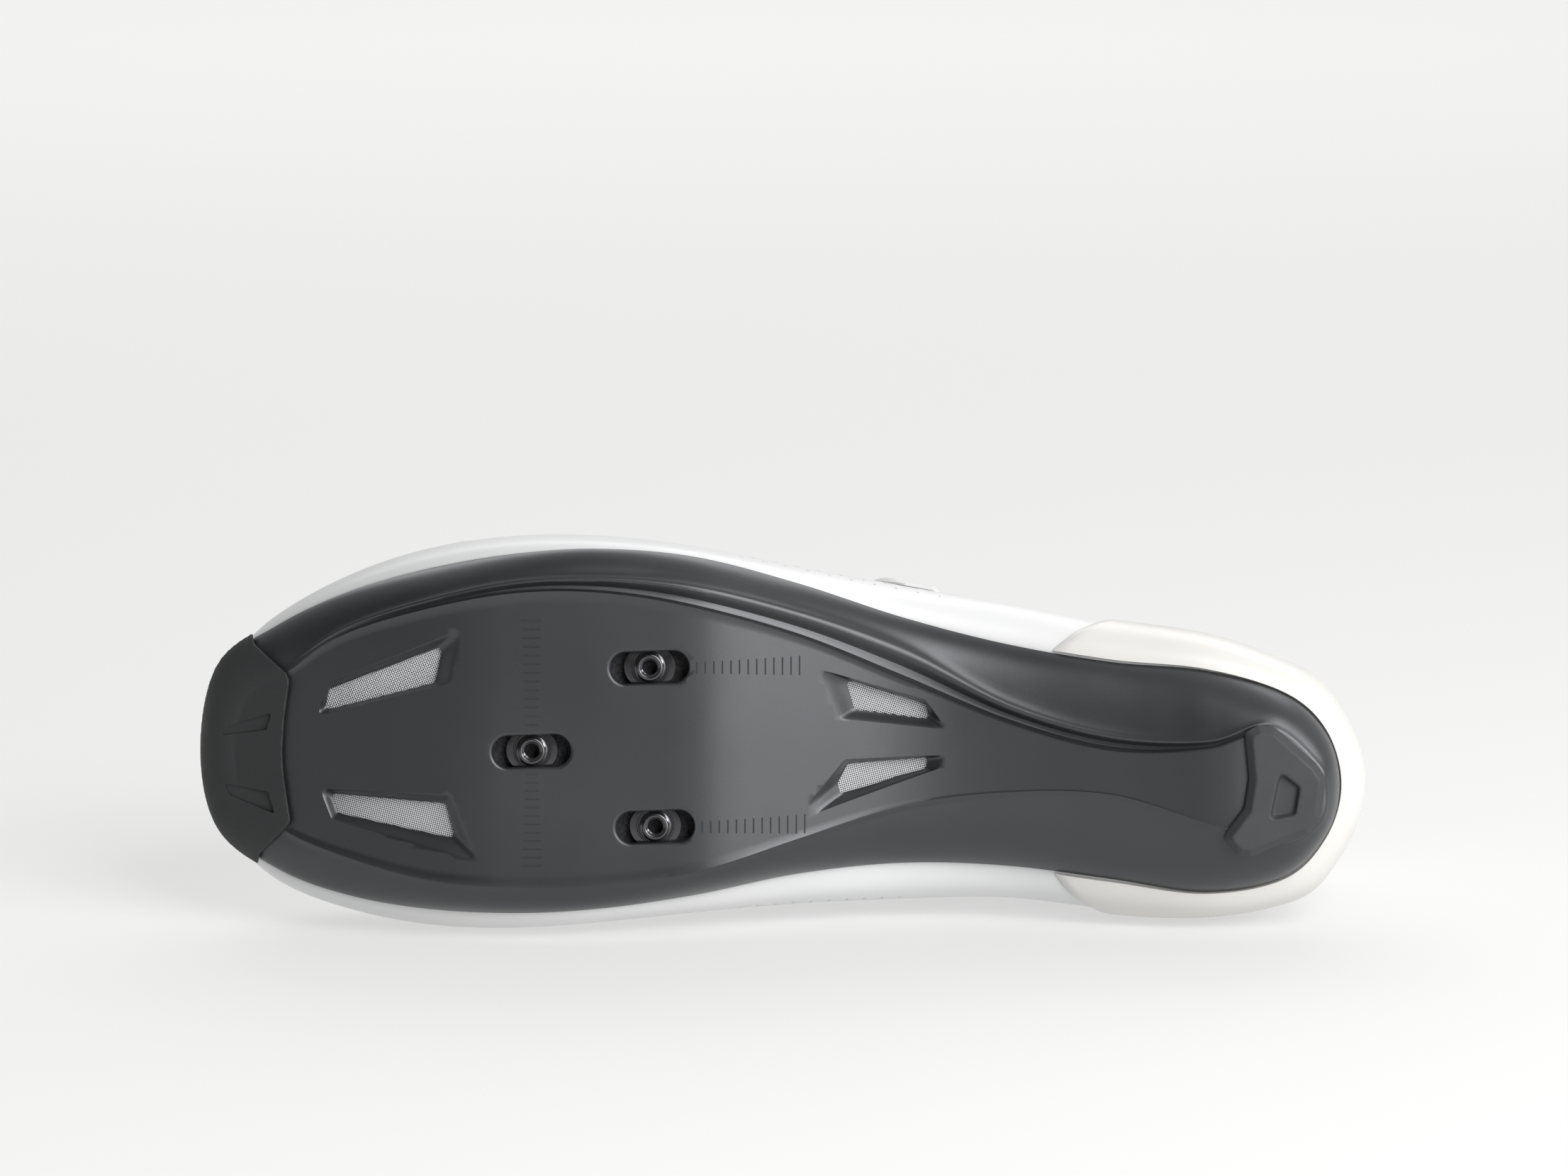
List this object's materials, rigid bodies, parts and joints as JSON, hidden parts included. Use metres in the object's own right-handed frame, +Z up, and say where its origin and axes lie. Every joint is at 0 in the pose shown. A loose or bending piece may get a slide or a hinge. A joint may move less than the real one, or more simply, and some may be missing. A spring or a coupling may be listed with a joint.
{
  "type": "cycling shoe",
  "caption": "Left road cycling shoe lying on its inner side: stiff vented sole with slotted cleat fixing, rubber toe and heel pieces, smooth hollow upper.",
  "frame": {"origin": "middle of the footprint, on the floor that the shoe lies on", "axes": "+Z up from the floor, towards the shoe's outer side; -X towards the toe; -Y out of the sole"},
  "size_m": [0.2986, 0.1176, 0.1003],
  "materials": {
    "composite": "satin dark grey composite",
    "rubber": "matte black rubber",
    "vent_mesh": "grey wire mesh",
    "cleat_metal": "black plated",
    "synthetic": "smooth white microfibre",
    "heel_cup": "smooth off-white moulded overlay",
    "lining": "dark knitted fabric",
    "tongue": "white padded fabric",
    "strap": "smooth white microfibre"
  },
  "bodies": {
    "shoe": {"outsole": "composite", "toe_bumper": "rubber", "heel_pad": "rubber", "vent_mesh_front_lateral": "vent_mesh", "vent_mesh_front_medial": "vent_mesh", "vent_mesh_rear_lateral": "vent_mesh", "vent_mesh_rear_medial": "vent_mesh", "upper": "synthetic", "heel_cup": "heel_cup", "insole": "lining", "tongue": "tongue", "strap_instep": "strap", "strap_forefoot": "strap"},
    "nut_front": {"cleat_nut_front": "cleat_metal"},
    "nut_rear_lateral": {"cleat_nut_rear_lateral": "cleat_metal"},
    "nut_rear_medial": {"cleat_nut_rear_medial": "cleat_metal"}
  },
  "joints": [
    {"name": "nut_front_slide", "type": "slide", "parent": "shoe", "child": "nut_front", "axis": [-0.9995, -0.0035, -0.0317], "range_m": [-0.0045, 0.0045]},
    {"name": "nut_rear_lateral_slide", "type": "slide", "parent": "shoe", "child": "nut_rear_lateral", "axis": [-0.9995, -0.0035, -0.0317], "range_m": [-0.0045, 0.0045]},
    {"name": "nut_rear_medial_slide", "type": "slide", "parent": "shoe", "child": "nut_rear_medial", "axis": [-0.9995, -0.0035, -0.0317], "range_m": [-0.0045, 0.0045]}
  ]
}
